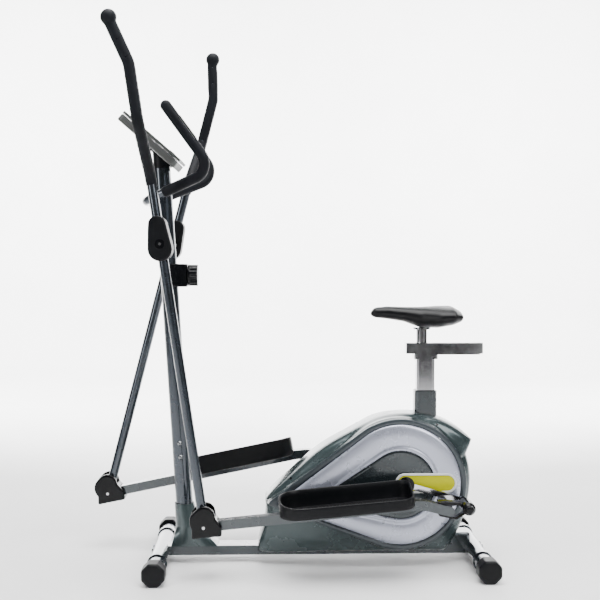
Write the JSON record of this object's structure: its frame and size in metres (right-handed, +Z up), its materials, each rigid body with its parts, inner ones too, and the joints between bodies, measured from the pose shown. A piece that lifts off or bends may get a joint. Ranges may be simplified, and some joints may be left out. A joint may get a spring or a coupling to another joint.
{
  "type": "elliptical trainer",
  "caption": "Rear-drive elliptical trainer with swinging hand levers, foot trays on pedal arms, enclosed flywheel drive, fixed handlebar, console and adjustable saddle.",
  "frame": {"origin": "on the floor, under the middle of the machine's bounding box", "axes": "+X forward, from the saddle to the console; +Y to the rider's left; +Z up"},
  "size_m": [1.1966, 0.657, 1.5697],
  "materials": {
    "frame_paint": "satin metallic grey-green",
    "mast_paint": "satin metallic gunmetal",
    "chrome": "polished",
    "steel": "zinc plated",
    "black_plastic": "glossy moulded",
    "matt_plastic": "fine grain",
    "housing_plastic": "metallic grey-green paint",
    "silver_plastic": "silver metallic",
    "drop_plastic": "dark grey metallic",
    "yellow_plastic": "yellow-green",
    "foam": "closed-cell foam",
    "saddle_cover": "satin vinyl over foam",
    "rubber": "matt",
    "cast_iron": "turned",
    "console_plastic": "silver grey",
    "screen_glass": "dull display",
    "button_plastic": "pale grey"
  },
  "bodies": {
    "frame": {"base_rail": "frame_paint", "front_stabilizer": "frame_paint", "rear_stabilizer": "frame_paint", "end_caps": "rubber", "frame_bolts": "chrome", "mast_socket": "mast_paint", "mast": "mast_paint", "mast_cover": "housing_plastic", "pivot_axle": "steel", "housing_left": "housing_plastic", "housing_right": "housing_plastic", "side_panels": "silver_plastic", "inner_panels": "drop_plastic", "crank_trims": "yellow_plastic", "housing_screws": "black_plastic", "crank_support": "frame_paint", "crank_bearings": "steel", "drive_belt": "rubber", "drive_mounts": "steel", "seat_sleeve": "mast_paint", "seat_bushing": "black_plastic", "handlebar": "mast_paint", "handlebar_grips": "foam", "pulse_sensors": "chrome", "console_shell": "console_plastic", "console_face": "console_plastic", "console_screen": "screen_glass", "console_bracket": "matt_plastic", "tension_collar": "black_plastic"},
    "crank": {"crank_axle": "steel", "crank_arms": "chrome", "hub_caps": "black_plastic", "drive_pulley": "matt_plastic"},
    "flywheel": {"flywheel": "cast_iron"},
    "idler": {"idler_wheel": "matt_plastic"},
    "brake": {"magnet_bracket": "steel"},
    "lever_left": {"lever_left": "mast_paint", "lever_fittings_left": "steel", "grip_left": "foam", "upper_boot_left": "black_plastic"},
    "lever_right": {"lever_right": "mast_paint", "lever_fittings_right": "steel", "grip_right": "foam", "upper_boot_right": "black_plastic"},
    "pedal_left": {"pedal_arm_left": "frame_paint", "arm_end_left": "black_plastic", "lower_boot_left": "black_plastic", "pedal_left": "matt_plastic"},
    "pedal_right": {"pedal_arm_right": "frame_paint", "arm_end_right": "black_plastic", "lower_boot_right": "black_plastic", "pedal_right": "matt_plastic"},
    "seat_post": {"seat_post": "chrome"},
    "seat": {"seat_carriage": "chrome", "saddle": "saddle_cover"},
    "pop_pin": {"pop_pin": "matt_plastic"},
    "slide_knob": {"slide_knob": "matt_plastic"},
    "tension_knob": {"tension_knob": "black_plastic"},
    "button_mode": {"button_mode": "button_plastic"},
    "button_reset": {"button_reset": "button_plastic"}
  },
  "joints": [
    {"name": "crank_turn", "type": "hinge", "parent": "frame", "child": "crank", "pos_m": [-0.345, 0, 0.248], "axis": [0, 1, 0], "range_deg": [0, 180]},
    {"name": "lever_left_swing", "type": "hinge", "parent": "frame", "child": "lever_left", "pos_m": [0.3557, 0.18, 0.947], "axis": [0, 1, 0], "range_deg": [-23.05, 0]},
    {"name": "lever_right_swing", "type": "hinge", "parent": "frame", "child": "lever_right", "pos_m": [0.3557, -0.18, 0.947], "axis": [0, 1, 0], "range_deg": [0, 23.05]},
    {"name": "pedal_left_pivot", "type": "hinge", "parent": "lever_left", "child": "pedal_left", "pos_m": [0.2381, 0.18, 0.15064], "axis": [0, 1, 0], "range_deg": [0, 29.05]},
    {"name": "pedal_right_pivot", "type": "hinge", "parent": "lever_right", "child": "pedal_right", "pos_m": [0.55933, -0.18, 0.16818], "axis": [0, 1, 0], "range_deg": [-29.05, 0]},
    {"name": "flywheel_turn", "type": "hinge", "parent": "frame", "child": "flywheel", "pos_m": [-0.108, -0.012, 0.18], "axis": [0, 1, 0], "continuous": true},
    {"name": "idler_turn", "type": "hinge", "parent": "frame", "child": "idler", "pos_m": [-0.18238, -0.046, 0.12923], "axis": [0, 1, 0], "continuous": true},
    {"name": "tension_turn", "type": "hinge", "parent": "frame", "child": "tension_knob", "pos_m": [0.29405, 0, 0.856], "axis": [-1, 0, 0], "range_deg": [0, 270]},
    {"name": "magnet_lift", "type": "hinge", "parent": "frame", "child": "brake", "pos_m": [0.00664, -0.012, 0.22173], "axis": [0, 1, 0], "range_deg": [0, 4]},
    {"name": "seat_height", "type": "slide", "parent": "frame", "child": "seat_post", "axis": [0, 0, 1], "range_m": [-0.075, 0.1]},
    {"name": "seat_reach", "type": "slide", "parent": "seat_post", "child": "seat", "axis": [1, 0, 0], "range_m": [-0.06, 0.06]},
    {"name": "pop_pin_pull", "type": "slide", "parent": "frame", "child": "pop_pin", "axis": [0, -1, 0], "range_m": [0, 0.012], "stiffness_N_per_m": 600, "springref_m": -0.01},
    {"name": "slide_knob_turn", "type": "hinge", "parent": "seat_post", "child": "slide_knob", "pos_m": [-0.475, -0.04, 0.632], "axis": [0, -1, 0], "range_deg": [-720, 0]},
    {"name": "button_mode_press", "type": "slide", "parent": "frame", "child": "button_mode", "axis": [0.6561, 0, -0.7547], "range_m": [0, 0.0015], "stiffness_N_per_m": 400, "springref_m": -0.0015},
    {"name": "button_reset_press", "type": "slide", "parent": "frame", "child": "button_reset", "axis": [0.6561, 0, -0.7547], "range_m": [0, 0.0015], "stiffness_N_per_m": 400, "springref_m": -0.0015}
  ],
  "couplings": [
    {"joint": "lever_left_swing", "follows": "crank_turn", "ratio": -0.12807},
    {"joint": "lever_right_swing", "follows": "crank_turn", "ratio": 0.12807},
    {"joint": "pedal_left_pivot", "follows": "crank_turn", "ratio": 0.16136},
    {"joint": "pedal_right_pivot", "follows": "crank_turn", "ratio": -0.16136},
    {"joint": "flywheel_turn", "follows": "crank_turn", "ratio": 6.7778},
    {"joint": "idler_turn", "follows": "crank_turn", "ratio": -7.1765},
    {"joint": "magnet_lift", "follows": "tension_turn", "ratio": 0.014815}
  ]
}
